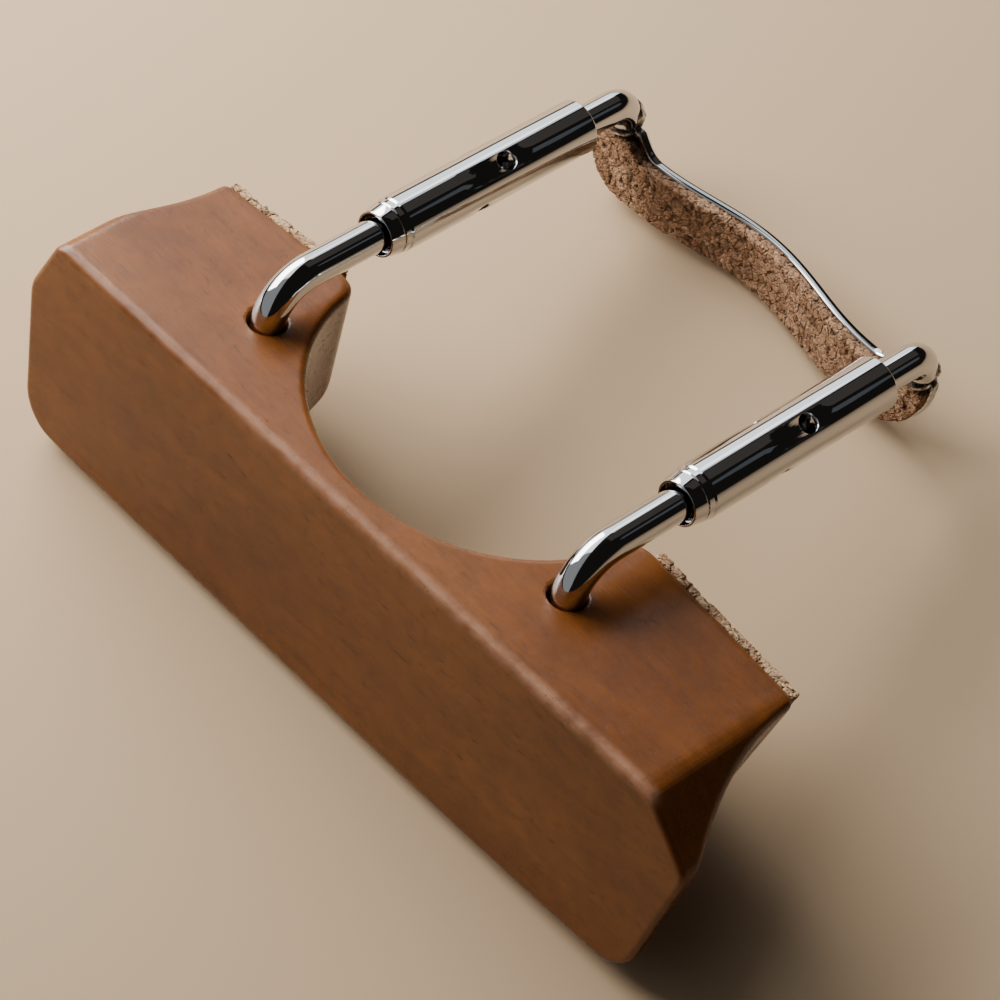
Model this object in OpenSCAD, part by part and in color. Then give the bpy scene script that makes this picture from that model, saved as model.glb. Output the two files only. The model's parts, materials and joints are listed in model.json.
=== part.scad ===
// Bar-type violin chin rest with a two-barrel screw clamp, lying on its underside.
//
// Every sub-part is drawn in the clamp's own frame and then laid down as one piece:
//   X runs along the wooden block, with x = 0 midway between the two rods,
//   Y is the clamping direction, from the block to the cork-lined foot, with y = 0 on the rod holes,
//   Z is square to the drilled face of the block, which is the plane z = 0.
// Once it lies down, the origin is on the floor under the middle of the whole object.

/* [Wooden block] */
// Reach of the chin plate from the middle of the rods to its left tip
plate_left = 41.8; // [40:0.1:44]
// Reach of the chin plate from the middle of the rods to its right tip
plate_right = 47.6; // [46:0.1:50]
// Depth of the chin plate along Z
plate_depth = 25; // [23:0.1:27]
// Distance from the rod holes to the chin face
chin_face = 10.2; // [8:0.1:12]
// Distance from the rod holes to the highest line of the feet
foot_face = 10.6; // [9:0.1:11.5]
// Depth of the two feet along Z
foot_depth = 15; // [13:0.1:17]
// Reach of the left foot from the middle of the rods
left_foot_end = 36.8; // [36:0.1:39]
// Reach of the right foot from the middle of the rods
right_foot_end = 41.6; // [40:0.1:43]
// Backward slope of each foot's face towards its outer end, in degrees
foot_rake = 4.8; // [0:0.1:6]
// Inward lean of the block's two ends below the drilled face, in degrees
end_lean = 14; // [0:1:24]
// Radius of the arch that bridges the tailpiece
arch_radius = 19.1; // [17:0.1:20]
// Distance from the rod holes to the centre of the arch
arch_centre = 12.2; // [11:0.1:14]

/* [Clamp rods] */
// Distance between the two clamp rods
rod_spacing = 41; // [38:0.1:44]
// Diameter of the chromed rods
rod_d = 3.4; // [3:0.1:3.8]
// Height of the rod axes above the drilled face
rod_height = 4.3; // [4.2:0.1:5.5]
// Centre-line radius of the bend next to the block
leg_bend = 4.3; // [3.6:0.1:5]
// Centre-line radius of the bend next to the foot
post_bend = 2.6; // [2.2:0.1:3]
// Depth to which each leg rod is driven into the block
leg_depth = 10; // [6:0.5:12]
// Diameter of the relieved mouth of each rod hole
hole_mouth_d = 3.9; // [3.9:0.1:4.6]

/* [Barrels] */
// Outside diameter of a barrel
barrel_d = 5.6; // [5.2:0.1:6]
// Length of a barrel
barrel_length = 27.6; // [26:0.1:28.5]
// Distance from the rod holes to the barrel's mouth
barrel_start = 12.8; // [12:0.1:13.5]
// Length of the conical collar at the mouth
collar_length = 2.5; // [2:0.1:3]
// Diameter of the cross holes for the key
key_d = 2; // [1.6:0.1:2.2]
// Distance from the mouth to the key hole that faces up
key_hole_at = 15.8; // [15:0.1:18]
// Axial step between the two crossed key holes
key_hole_step = 3.6; // [2.6:0.1:4]
// Angle of the key hole round the barrel, from square to the drilled face, in degrees
key_angle = 26; // [0:1:45]

/* [Foot] */
// Distance from the rod holes to the axis of the foot posts
post_at = 47.3; // [46:0.1:49]
// Length of the foot plate
foot_plate_length = 45.4; // [44.5:0.1:47]
// Lower edge of the foot plate
foot_low = -6.6; // [-8:0.1:-5]
// Upper edge of the foot plate between its two ears
foot_high = -0.3; // [-1:0.1:0]
// Sideways bulge of the foot plate at its middle
foot_bulge = 2.3; // [0:0.1:3]
// Distance of the foot plate's middle line behind the axis of its posts
foot_setback = 0.4; // [0:0.1:0.6]
// Thickness of the foot plate
foot_thickness = 1; // [0.8:0.1:1.2]

/* [Cork] */
// Thickness of the pads on the block's two feet
pad_thickness = 1; // [0.8:0.1:1.6]
// Thickness of the lining on the foot plate
lining_thickness = 1.3; // [1:0.1:2]

/* [Hidden] */
$fn = 64;

// Sides of the object, as signs along X
LEFT = -1;
RIGHT = 1;

// Running clearance of the rods in the barrels, as a radius
run = 0.05;
// Relief at a barrel's mouth, as a step in radius and a depth
mouth_step = 0.4;
mouth_depth = 0.7;
// Size of tool bodies that only have to reach past the wood
past = 30;

// The wooden block
front_edge_r = 1.2;
plate_edge_r = 1;
plate_land = 2.7;
cove_top = 3;
cove_start = 9.5;
cove_flare = 2.4;
cove_end = -8.8;
heel_r = 3.4;
inner_corner_r = 2;
pad_margin = 0.4;
mouth_relief = 2.5;
mouth_shift = 0.15;
rod_x = rod_spacing / 2;

// The leg rods end clear of the key holes, and so do the foot rods
leg_rod_end = barrel_start + key_hole_at - key_hole_step - key_d / 2 - 1.5;
post_rod_end = barrel_start + key_hole_at + key_d / 2 + 1.7;

// The foot
ear_width = 4.9;
ear_high = rod_height - post_bend - 0.1;
ear_fillet = 2.5;
left_corner_r = 4.9;
right_corner_r = 6.4;
ear_corner_r = 0.7;
weld_r = 1.95;
weld_h = 0.9;
bulge_half = 15;
bulge_at = -1;

// How the object lies: the rounded back edge of the chin plate and the outer lower edge of the
// foot plate both touch the floor, which fixes the tilt of the clamp's frame
rest_y = -chin_face + plate_land;
rest_z = -plate_depth + plate_edge_r;
foot_rest_y = post_at + foot_setback + foot_bulge + foot_thickness / 2;
rest_span = [foot_rest_y - rest_y, foot_low - rest_z];
tilt = atan2(rest_span[1], rest_span[0]) + asin(plate_edge_r / norm(rest_span));

// An arc as a list of points, from angle a0 to angle a1 in steps of about 6 degrees
function arc(centre, r, a0, a1) =
    let (steps = max(2, ceil(abs(a1 - a0) / 6)))
    [for (i = [0:steps]) let (a = a0 + (a1 - a0) * i / steps) centre + r * [cos(a), sin(a)]];

// A corner of a polygon as an arc of radius v[2], tangent to the sides towards u and w
function round_corner(u, v, w) =
    let (
        p = [v[0], v[1]],
        a = [u[0], u[1]] - p,
        b = [w[0], w[1]] - p,
        ua = a / norm(a),
        ub = b / norm(b),
        half = acos(ua * ub) / 2,
        centre = p + (ua + ub) / norm(ua + ub) * v[2] / sin(half),
        start = p + ua * v[2] / tan(half) - centre,
        stop = p + ub * v[2] / tan(half) - centre,
        a0 = atan2(start[1], start[0]),
        turn = atan2(start[0] * stop[1] - start[1] * stop[0], start * stop)
    )
    arc(centre, v[2], a0, a0 + turn);

// A closed outline from its sharp corners, each given as [x, y, radius]
function rounded(corners) =
    let (n = len(corners))
    [for (i = [0:n - 1]) each round_corner(corners[(i + n - 1) % n], corners[i], corners[(i + 1) % n])];

// Radius of a cove that starts along Y and has moved sideways by dx after a run of dy
function cove_radius(dx, dy) = (dx * dx + dy * dy) / (2 * dx);

// The chin face seen from the chin: a bar whose ends flare towards their upper corners and whose
// long lower edge bows by less than half a millimetre
chin_outline = rounded([
    [-plate_left + 2.7, 0, 2],
    [-plate_left, -7.5, 5],
    [-plate_left + 2.3, 0.6 - plate_depth, 5],
    [2, -plate_depth - 0.4, 200],
    [plate_right - 3.2, 1.4 - plate_depth, 4.5],
    [plate_right, -6.2, 2.5],
    [plate_right - 6.6, 0, 3]
]);

// Where the fillet between the arch and a foot's face has its centre
inner_corner = [
    sqrt(pow(arch_radius + inner_corner_r, 2) - pow(foot_face - inner_corner_r - arch_centre, 2)),
    foot_face - inner_corner_r
];
arch_angle = atan2(inner_corner[1] - arch_centre, inner_corner[0]);

// Where a foot's flat face begins, next to the fillet
function face_start(side) =
    [side * (inner_corner[0] + inner_corner_r * sin(foot_rake)), inner_corner[1] + inner_corner_r * cos(foot_rake)];

// Half of the plan, from the middle of the arch round one foot to the middle of the chin face
function plan_half(side) =
    let (
        start = face_start(side),
        drop = (past * 2 - abs(start[0])) * tan(foot_rake),
        half = concat(
            arc([0, arch_centre], arch_radius, -90, arch_angle),
            arc(inner_corner, inner_corner_r, 180 + arch_angle, 90 - foot_rake),
            [[past * 2, start[1] - drop], [past * 2, -past]]
        )
    )
    [for (p = half) [side * p[0], p[1]]];

function reversed(list) = [for (i = [len(list) - 1:-1:0]) list[i]];

plan_outline = concat(plan_half(RIGHT), reversed(plan_half(LEFT)));

// The side of the block, with the chin face at the left and the feet at the right
cove_r = (pow(cove_top - rest_y - plate_edge_r, 2) + pow(plate_depth - foot_depth - plate_edge_r, 2))
    / (2 * (plate_depth - foot_depth - plate_edge_r));
cove_mid = [cove_top, -foot_depth - cove_r];
cove_tip = [rest_y + plate_edge_r, rest_z] - cove_mid;
side_outline = concat(
    arc([-chin_face + front_edge_r, -front_edge_r], front_edge_r, 90, 180),
    arc([-chin_face + front_edge_r, -plate_depth + front_edge_r], front_edge_r, 180, 270),
    arc([rest_y, rest_z], plate_edge_r, 270, 360),
    arc(cove_mid, cove_r, atan2(cove_tip[1], cove_tip[0]), 90),
    arc([foot_face + 0.2 - heel_r, -foot_depth + heel_r], heel_r, -90, 0),
    [[foot_face + 0.2, 0]]
);

// Lays the whole object on the floor, centred over the origin
block_y = [for (p = side_outline) p[0] * cos(tilt) + p[1] * sin(tilt)];
mid_x = (max([for (p = chin_outline) p[0]]) + min([for (p = chin_outline) p[0]])) / 2;
post_reach = (post_at + rod_d / 2) * cos(tilt) + (rod_height - post_bend) * sin(tilt);
plate_reach = foot_rest_y * cos(tilt) + foot_high * sin(tilt);
mid_y = (min(block_y) + max(post_reach, plate_reach)) / 2;
floor_z = rest_z * cos(tilt) - rest_y * sin(tilt) - plate_edge_r;

module lay_down() {
    translate([-mid_x, -mid_y, -floor_z]) rotate([-tilt, 0, 0]) children();
}

// Extrudes a plan along Z between two heights
module upright(low, high) {
    translate([0, 0, low]) linear_extrude(high - low) children();
}

// Extrudes an outline drawn in X and Z along Y between two places
module along_y(from, to) {
    translate([0, to, 0]) rotate([90, 0, 0]) linear_extrude(to - from) children();
}

// Extrudes an outline drawn in Y and Z along X
module along_x(from, to) {
    translate([from, 0, 0]) rotate([90, 0, 90]) linear_extrude(to - from) children();
}

// A round bar along Y
module bar_y(d, from, to) {
    translate([0, to, 0]) rotate([90, 0, 0]) cylinder(d = d, h = to - from);
}

// The wooden block: a chin plate on two feet, with an arch between the feet
module chin_block() {
    color("peru") lay_down() difference() {
        intersection() {
            along_y(-past, past) polygon(chin_outline);
            upright(-past, past) polygon(plan_outline);
            along_x(-2 * past, 2 * past) polygon(side_outline);
        }
        end_relief(LEFT, left_foot_end, plate_left);
        end_relief(RIGHT, right_foot_end, plate_right);
        for (side = [LEFT, RIGHT]) rod_hole(side);
    }
}

// What is cut away at one end: straight past the foot, then a cove out to the chin plate's tip
module end_relief(side, foot_end, tip) {
    run_out = (tip - foot_end + cove_flare) * cos(end_lean);
    cove = cove_radius(run_out, cove_start - cove_end);
    turn = asin((cove_start - cove_end) / cove);
    mirror([side == LEFT ? 1 : 0, 0, 0]) translate([foot_end, 0, 0]) rotate([0, end_lean, 0])
        upright(-past * 2, past) polygon(concat(
            arc([cove, cove_start], cove, 180, 180 + turn),
            [[past * 2, cove_end], [past * 2, past], [0, past]]
        ));
}

// The hole of one leg rod: a tight bore with a relieved mouth, a little off centre
module rod_hole(side) {
    translate([side * rod_x, 0, -leg_depth]) cylinder(d = rod_d, h = leg_depth + 1);
    translate([side * rod_x - mouth_shift, 0, -mouth_relief])
        cylinder(d = hole_mouth_d, h = mouth_relief + 1);
}

// A cork pad on the flat face of one of the block's feet
module pad_cork(side, foot_end, tip) {
    start = face_start(side);
    color("burlywood") lay_down() difference() {
        translate([start[0], start[1], 0]) mirror([side == LEFT ? 1 : 0, 0, 0])
            rotate([0, 0, -foot_rake]) upright(heel_r - foot_depth, -pad_margin)
                translate([pad_margin, 0]) square([past, pad_thickness]);
        end_relief(side, foot_end - pad_margin, tip);
    }
}

// An L-shaped rod from the block, up round its bend and into the barrel
module leg_rod(side) {
    color("gainsboro") lay_down() translate([side * rod_x, 0, 0]) {
        translate([0, 0, -leg_depth]) cylinder(d = rod_d, h = leg_depth + rod_height - leg_bend);
        rod_bend(leg_bend, 0);
        translate([0, 0, rod_height]) bar_y(rod_d, leg_bend, leg_rod_end);
    }
}

// A quarter bend that joins a bar along Z, at y = at, to a bar along Y
module rod_bend(r, at) {
    translate([0, at + r, rod_height - r]) rotate([90, 0, -90]) rotate_extrude(angle = 90)
        translate([r, 0]) circle(d = rod_d);
}

// A turned barrel: mouth with a conical collar towards the block, chamfer towards the foot
module barrel(side) {
    bore = rod_d / 2 + run;
    mouth = bore + mouth_step;
    r = barrel_d / 2;
    rim = 0.85 * r;
    lip = 0.15;
    flare = 0.2;
    end_chamfer = 0.35;
    color("gainsboro") lay_down() translate([side * rod_x, barrel_start, rod_height])
        difference() {
            rotate([-90, 0, 0]) rotate_extrude() polygon([
                [mouth, 0], [rim - lip, 0], [rim, lip],
                [rim + flare, collar_length * 0.55], [rim, collar_length * 0.6],
                [rim + flare, collar_length * 0.68], [rim + 1.4 * flare, collar_length * 0.9],
                [r, collar_length + lip],
                [r, barrel_length - end_chamfer], [r - end_chamfer, barrel_length],
                [bore + lip, barrel_length], [bore, barrel_length - lip],
                [bore, mouth_depth + mouth - bore], [mouth, mouth_depth]
            ]);
            key_hole(key_hole_at, key_angle);
            key_hole(key_hole_at - key_hole_step, key_angle - 90);
        }
}

// A cross hole through both walls of a barrel, countersunk at each end
module key_hole(at, angle) {
    r = barrel_d / 2;
    flare = 0.25;
    translate([0, at, 0]) rotate([0, angle, 0]) {
        translate([0, 0, -r - 1]) cylinder(d = key_d, h = barrel_d + 2);
        for (turn = [0, 180]) rotate([0, turn, 0]) translate([0, 0, r - flare])
            cylinder(d1 = key_d, d2 = key_d + 4 * flare, h = 2 * flare);
    }
}

// A rod that leaves the barrel and turns down to the foot plate
module foot_post(side) {
    color("gainsboro") lay_down() translate([side * rod_x, 0, 0]) {
        translate([0, 0, rod_height]) bar_y(rod_d, post_rod_end, post_at - post_bend);
        translate([0, post_at, 0]) mirror([0, 1, 0]) rod_bend(post_bend, 0);
        translate([0, post_at, ear_high]) cylinder(d = rod_d, h = rod_height - post_bend - ear_high);
    }
}

// Middle line of the foot plate: straight at the posts, bulging away from the block in between
function plate_line(x) =
    let (u = min(1, abs(x - bulge_at) / bulge_half))
    post_at + foot_setback + foot_bulge * pow(cos(90 * u), 2);

// A strip that follows the foot plate, between two offsets from its middle line
module plate_strip(near, far) {
    xs = [for (x = [-25:1:25]) x];
    polygon(concat(
        [for (x = xs) [x, plate_line(x) + near]],
        [for (x = reversed(xs)) [x, plate_line(x) + far]]
    ));
}

// The foot plate's outline in X and Z: a band with a raised ear under each post
function foot_outline(margin, ears) =
    let (
        end = foot_plate_length / 2 - margin,
        inner = foot_plate_length / 2 - ear_width + margin,
        high = foot_high - margin,
        low = foot_low + margin,
        slope = ears - high,
        room = ears - low - ear_corner_r - 0.02
    )
    rounded([
        [-end, low, min(left_corner_r - margin, room)],
        [end, low, min(right_corner_r - margin, room)],
        [end, ears, ear_corner_r],
        [inner, ears, ear_corner_r],
        [inner - slope, high, ear_fillet],
        [-inner + slope, high, ear_fillet],
        [-inner, ears, ear_corner_r],
        [-end, ears, ear_corner_r]
    ]);

// The chromed foot plate, with a weld bead under each post
module foot_plate() {
    color("silver") lay_down() union() {
        intersection() {
            upright(-past, past) plate_strip(-foot_thickness / 2, foot_thickness / 2);
            along_y(0, 2 * past) polygon(foot_outline(0, ear_high));
        }
        for (side = [LEFT, RIGHT]) translate([side * rod_x, post_at, ear_high - weld_h])
            weld_bead();
    }
}

// A rounded bead of weld metal, flat on top where the post stands on it
module weld_bead() {
    rotate_extrude() polygon(concat(
        [[0, 0]],
        arc([weld_r - weld_h / 2, weld_h / 2], weld_h / 2, -90, 90),
        [[0, weld_h]]
    ));
}

// The cork lining on the side of the foot plate that faces the block
module foot_cork() {
    near = -foot_thickness / 2 - lining_thickness;
    color("tan") lay_down() intersection() {
        upright(-past, past) plate_strip(near, -foot_thickness / 2);
        along_y(0, 2 * past) polygon(foot_outline(0.15, ear_high - weld_h - 0.1));
    }
}

chin_block();
pad_cork(LEFT, left_foot_end, plate_left);  // left_pad_cork
pad_cork(RIGHT, right_foot_end, plate_right);  // right_pad_cork
leg_rod(LEFT);  // left_leg_rod
leg_rod(RIGHT);  // right_leg_rod
barrel(LEFT);  // left_barrel
barrel(RIGHT);  // right_barrel
foot_post(LEFT);  // left_foot_post
foot_post(RIGHT);  // right_foot_post
foot_plate();
foot_cork();
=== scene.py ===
"""Violin chin rest with a two-barrel screw clamp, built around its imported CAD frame.

Every piece is drawn in the clamp's own frame, in millimetres, and then laid down as part.scad lays it:
X runs along the wooden block, Y from the block to the foot of the clamp, Z square to the drilled face.
"""

import itertools
import json
import math
import random

import bmesh
import bpy
import numpy as np
from mathutils import Matrix, Vector, noise
from mathutils.geometry import delaunay_2d_cdt


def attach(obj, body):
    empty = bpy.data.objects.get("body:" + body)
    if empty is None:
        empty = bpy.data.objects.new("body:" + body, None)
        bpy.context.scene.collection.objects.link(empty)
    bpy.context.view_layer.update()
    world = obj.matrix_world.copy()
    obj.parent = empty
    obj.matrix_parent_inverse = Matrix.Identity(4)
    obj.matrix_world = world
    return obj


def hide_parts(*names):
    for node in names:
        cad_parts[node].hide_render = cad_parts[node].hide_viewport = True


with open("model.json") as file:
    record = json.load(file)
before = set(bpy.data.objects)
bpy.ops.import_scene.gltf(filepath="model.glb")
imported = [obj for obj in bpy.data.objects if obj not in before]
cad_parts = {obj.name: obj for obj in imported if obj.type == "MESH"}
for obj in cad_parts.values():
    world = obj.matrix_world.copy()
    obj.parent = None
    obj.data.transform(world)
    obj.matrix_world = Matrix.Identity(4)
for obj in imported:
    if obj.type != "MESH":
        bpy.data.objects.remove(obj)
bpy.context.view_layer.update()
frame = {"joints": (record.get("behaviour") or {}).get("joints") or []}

MM = 0.001
LEFT, RIGHT = -1, 1

# Driving sizes, in millimetres, as in part.scad
ROD_D = 3.4
ROD_HEIGHT = 4.3
ROD_X = 20.5
LEG_BEND = 4.3
POST_BEND = 2.6
LEG_DEPTH = 10
BARREL_D = 5.6
BARREL_LENGTH = 27.6
BARREL_START = 12.8
COLLAR_LENGTH = 2.5
KEY_D = 2
KEY_HOLE_AT = 15.8
KEY_HOLE_STEP = 3.6
KEY_ANGLE = 26
POST_AT = 47.3
LEG_ROD_END = 22.5
POST_ROD_END = 31.3
FOOT_LENGTH = 45.4
FOOT_LOW = -6.6
FOOT_HIGH = -0.3
FOOT_BULGE = 2.3
FOOT_SETBACK = 0.4
FOOT_THICKNESS = 1
LINING_THICKNESS = 1.3
PAD_THICKNESS = 1
PAD_MARGIN = 0.4
EAR_HIGH = ROD_HEIGHT - POST_BEND - 0.1
EAR_WIDTH = 4.9
EAR_FILLET = 2.5
EAR_CORNER_R = 0.7
LEFT_CORNER_R = 4.9
RIGHT_CORNER_R = 6.4
BULGE_HALF = 15
WELD_R = 1.95
WELD_H = 0.9
RUN = 0.05
MOUTH_STEP = 0.4
MOUTH_DEPTH = 0.7
PLATE_LEFT = 41.8
PLATE_RIGHT = 47.6
PLATE_DEPTH = 25
PLATE_LAND = 2.7
PLATE_EDGE_R = 1
FRONT_EDGE_R = 1.2
CHIN_FACE = 10.2
FOOT_FACE = 10.6
FOOT_DEPTH = 15
FOOT_RAKE = 4.8
HEEL_R = 3.4
LEFT_FOOT_END = 36.8
RIGHT_FOOT_END = 41.6
END_LEAN = 14
COVE_TOP = 3
COVE_START = 9.5
COVE_END = -8.8
COVE_FLARE = 2.4
ARCH_RADIUS = 19.1
ARCH_CENTRE = 12.2
INNER_CORNER_R = 2
HOLE_MOUTH_D = 3.9
MOUTH_RELIEF = 2.5
MOUTH_SHIFT = 0.15


# ---------------------------------------------------------------- the clamp's frame

def clamp_frame():
    """The matrix that lays the clamp's frame down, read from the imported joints."""
    travel = next(j for j in frame["joints"] if j["name"] == "foot_travel")
    spin = {j["name"]: Vector(j["pos_m"]) for j in frame["joints"] if j["type"] == "hinge"}
    y_axis = Vector(travel["axis"]).normalized()
    x_axis = (spin["right_barrel_spin"] - spin["left_barrel_spin"]).normalized()
    z_axis = x_axis.cross(y_axis)
    turn = Matrix((x_axis, y_axis, z_axis)).transposed().to_4x4()
    middle = (spin["right_barrel_spin"] + spin["left_barrel_spin"]) / 2
    along = (BARREL_START + BARREL_LENGTH / 2) * MM
    origin = middle - y_axis * along - z_axis * ROD_HEIGHT * MM
    return Matrix.Translation(origin) @ turn @ Matrix.Scale(MM, 4)


LAY_DOWN = clamp_frame()


def add_mesh(name, points, faces):
    """A new object from points in the clamp's frame, in millimetres."""
    mesh = bpy.data.meshes.new(name)
    mesh.from_pydata([tuple(LAY_DOWN @ Vector(p)) for p in points], [], faces)
    mesh.validate()
    mesh.polygons.foreach_set("use_smooth", [True] * len(mesh.polygons))
    obj = bpy.data.objects.new(name, mesh)
    bpy.context.scene.collection.objects.link(obj)
    return obj


def declare(obj, node, body, material):
    """obj stands for a CAD node, rides on its body and takes the material."""
    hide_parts(node)
    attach(obj, body)
    obj.data.materials.clear()
    obj.data.materials.append(material)
    return obj


# ---------------------------------------------------------------- node materials

class Nodes:
    """A small helper that wires a material's shader nodes."""

    def __init__(self, name):
        self.material = bpy.data.materials.new(name)
        self.material.use_nodes = True
        self.tree = self.material.node_tree
        self.shader = self.tree.nodes["Principled BSDF"]

    def add(self, kind, **settings):
        node = self.tree.nodes.new(kind)
        for key, value in settings.items():
            setattr(node, key, value)
        return node

    def link(self, source, target):
        self.tree.links.new(source, target)

    def place(self, scale):
        """Object coordinates, scaled."""
        coord = self.add("ShaderNodeTexCoord")
        mapping = self.add("ShaderNodeMapping")
        mapping.inputs["Scale"].default_value = scale
        self.link(coord.outputs["Object"], mapping.inputs["Vector"])
        return mapping.outputs["Vector"]

    def noise(self, vector, scale, detail=4, roughness=0.5, distortion=0.0):
        node = self.add("ShaderNodeTexNoise")
        node.inputs["Scale"].default_value = scale
        node.inputs["Detail"].default_value = detail
        node.inputs["Roughness"].default_value = roughness
        node.inputs["Distortion"].default_value = distortion
        self.link(vector, node.inputs["Vector"])
        return node.outputs["Fac"]

    def cells(self, vector, scale):
        """Distance to the nearest of a scatter of points."""
        node = self.add("ShaderNodeTexVoronoi", feature="F1")
        node.inputs["Scale"].default_value = scale
        self.link(vector, node.inputs["Vector"])
        return node.outputs["Distance"]

    def attribute(self, name):
        """A number stored on the mesh by paint(), zero where there is none."""
        return self.add("ShaderNodeAttribute", attribute_name=name).outputs["Fac"]

    def ramp(self, factor, stops):
        """stops are (position, grey or colour)."""
        node = self.add("ShaderNodeValToRGB")
        ramp = node.color_ramp
        while len(ramp.elements) < len(stops):
            ramp.elements.new(0.5)
        for element, (position, value) in zip(ramp.elements, stops):
            element.position = position
            colour = value if isinstance(value, tuple) else (value,) * 3
            element.color = (*colour, 1)
        self.link(factor, node.inputs["Fac"])
        return node.outputs["Color"]

    def mix(self, factor, a, b, mode="MIX"):
        node = self.add("ShaderNodeMix", data_type="RGBA", blend_type=mode)
        for socket, value in ((node.inputs[0], factor), (node.inputs[6], a), (node.inputs[7], b)):
            if hasattr(value, "is_output"):
                self.link(value, socket)
            elif isinstance(value, tuple):
                socket.default_value = (*value, 1)
            else:
                socket.default_value = value
        return node.outputs[2]

    def maths(self, operation, a, b):
        node = self.add("ShaderNodeMath", operation=operation)
        for socket, value in zip(node.inputs, (a, b)):
            if hasattr(value, "is_output"):
                self.link(value, socket)
            else:
                socket.default_value = value
        return node.outputs[0]

    def bump(self, height, strength, distance, normal=None):
        node = self.add("ShaderNodeBump")
        node.inputs["Strength"].default_value = strength
        node.inputs["Distance"].default_value = distance
        self.link(height, node.inputs["Height"])
        if normal is not None:
            self.link(normal, node.inputs["Normal"])
        return node.outputs["Normal"]


def chrome_material():
    """Bright plating: almost a mirror, with faint haze and specks, and dull grey solder at the foot."""
    n = Nodes("chrome_plating")
    s = n.shader
    s.inputs["Metallic"].default_value = 1
    where = n.place((1, 1, 1))
    haze = n.ramp(n.noise(where, 220, 5, 0.6), ((0.42, 0.03), (0.70, 0.10)))
    solder = n.attribute("solder")
    patchy = n.ramp(n.noise(where, 1400, 4, 0.6), ((0.38, 0.0), (0.58, 1.0)))
    dull = n.maths("MULTIPLY", solder, patchy)
    n.link(n.mix(dull, (0.57, 0.575, 0.59), (0.16, 0.14, 0.13)), s.inputs["Base Color"])
    n.link(n.mix(dull, haze, (0.42, 0.42, 0.42)), s.inputs["Roughness"])
    ripple = n.noise(where, 900, 3, 0.5)
    polished = n.bump(ripple, 0.05, 0.00002)
    lumpy = n.maths("MULTIPLY", n.noise(where, 1900, 4, 0.6), solder)
    n.link(n.bump(lumpy, 0.5, 0.00022, polished), s.inputs["Normal"])
    return n.material


def wood_material():
    """Oiled orange-brown hardwood: broad colour, grain along the bar, dark pores and a front edge painted
    lighter, part wear and part painted highlight.
    """
    n = Nodes("block_wood")
    s = n.shader
    plain = n.place((1, 1, 1))
    broad = n.noise(n.place((1, 2.2, 2.2)), 30, 3, 0.5, 0.5)
    grain = n.noise(n.place((1, 7, 7)), 150, 6, 0.6, 0.5)
    fibre = n.noise(n.place((1, 9, 9)), 520, 4, 0.65)
    mottle = n.noise(plain, 420, 5, 0.65)
    dashes = n.ramp(n.noise(n.place((1, 8, 8)), 640, 2, 0.5), ((0.635, 0.0), (0.70, 1.0)))
    pits = n.ramp(n.cells(plain, 1500), ((0.10, 1.0), (0.24, 0.0)))
    sparse = n.ramp(n.noise(plain, 260, 3, 0.6), ((0.50, 0.0), (0.62, 1.0)))
    pores = n.maths("MAXIMUM", n.maths("MULTIPLY", dashes, 0.8), n.maths("MULTIPLY", pits, sparse))
    colour = n.ramp(broad, ((0.30, WOOD_DARK), (0.52, WOOD_MIDDLE), (0.76, WOOD_LIGHT)))
    colour = n.mix(0.35, colour, n.ramp(grain, ((0.32, 0.33), (0.64, 0.66))), "OVERLAY")
    colour = n.mix(0.22, colour, n.ramp(fibre, ((0.30, 0.30), (0.70, 0.70))), "OVERLAY")
    colour = n.mix(0.35, colour, n.ramp(mottle, ((0.32, 0.30), (0.68, 0.70))), "OVERLAY")
    # Front edge painted lighter and pinker: part wear, part painted highlight along the rounded edge.
    worn_and_highlit = n.maths("MULTIPLY", n.attribute("front_edge"), n.ramp(mottle, ((0.34, 0.25), (0.60, 1.0))))
    colour = n.mix(worn_and_highlit, colour, WOOD_WORN_AND_HIGHLIT)
    colour = n.mix(n.maths("MULTIPLY", pores, 0.75), colour, (0.045, 0.018, 0.008))
    n.link(colour, s.inputs["Base Color"])
    s.inputs["Specular IOR Level"].default_value = 0.36
    polish = n.ramp(grain, ((0.3, 0.29), (0.7, 0.22)))
    n.link(n.mix(pores, polish, (0.7, 0.7, 0.7)), s.inputs["Roughness"])
    soft = n.bump(n.maths("ADD", mottle, fibre), 0.25, 0.00010)
    n.link(n.bump(n.maths("SUBTRACT", 1.0, pores), 0.1, 0.00005, soft), s.inputs["Normal"])
    return n.material


def cork_material(name, light, middle, dark):
    """Pressed cork: each granule has its own tone, and the gaps and pits between them are painted nearly
    black, as painted shade in those hollows.
    """
    n = Nodes(name)
    s = n.shader
    where = n.place((1, 1, 1))
    colour = n.ramp(n.attribute("granule"), ((0.0, dark), (0.45, middle), (1.0, light)))
    speckle = n.noise(where, 2600, 5, 0.65)
    colour = n.mix(0.55, colour, n.ramp(speckle, ((0.32, 0.22), (0.66, 0.78))), "OVERLAY")
    pits = n.ramp(n.cells(where, 1700), ((0.08, 1.0), (0.20, 0.0)))
    broken = n.ramp(n.noise(where, 1100, 3, 0.6), ((0.42, 0.2), (0.60, 1.0)))
    open_gaps = n.maths("MULTIPLY", n.attribute("gap"), broken)
    # Painted shade: the gaps and pits are painted nearly black where the hollows would be shaded.
    hollow_shade = n.maths("MAXIMUM", open_gaps, n.maths("MULTIPLY", pits, 0.7))
    colour = n.mix(hollow_shade, colour, (0.035, 0.016, 0.008))
    n.link(colour, s.inputs["Base Color"])
    s.inputs["Roughness"].default_value = 0.88
    s.inputs["Specular IOR Level"].default_value = 0.25
    rough = n.bump(speckle, 0.45, 0.00016)
    n.link(n.bump(n.maths("SUBTRACT", 1.0, pits), 0.5, 0.00012, rough), s.inputs["Normal"])
    return n.material


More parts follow.
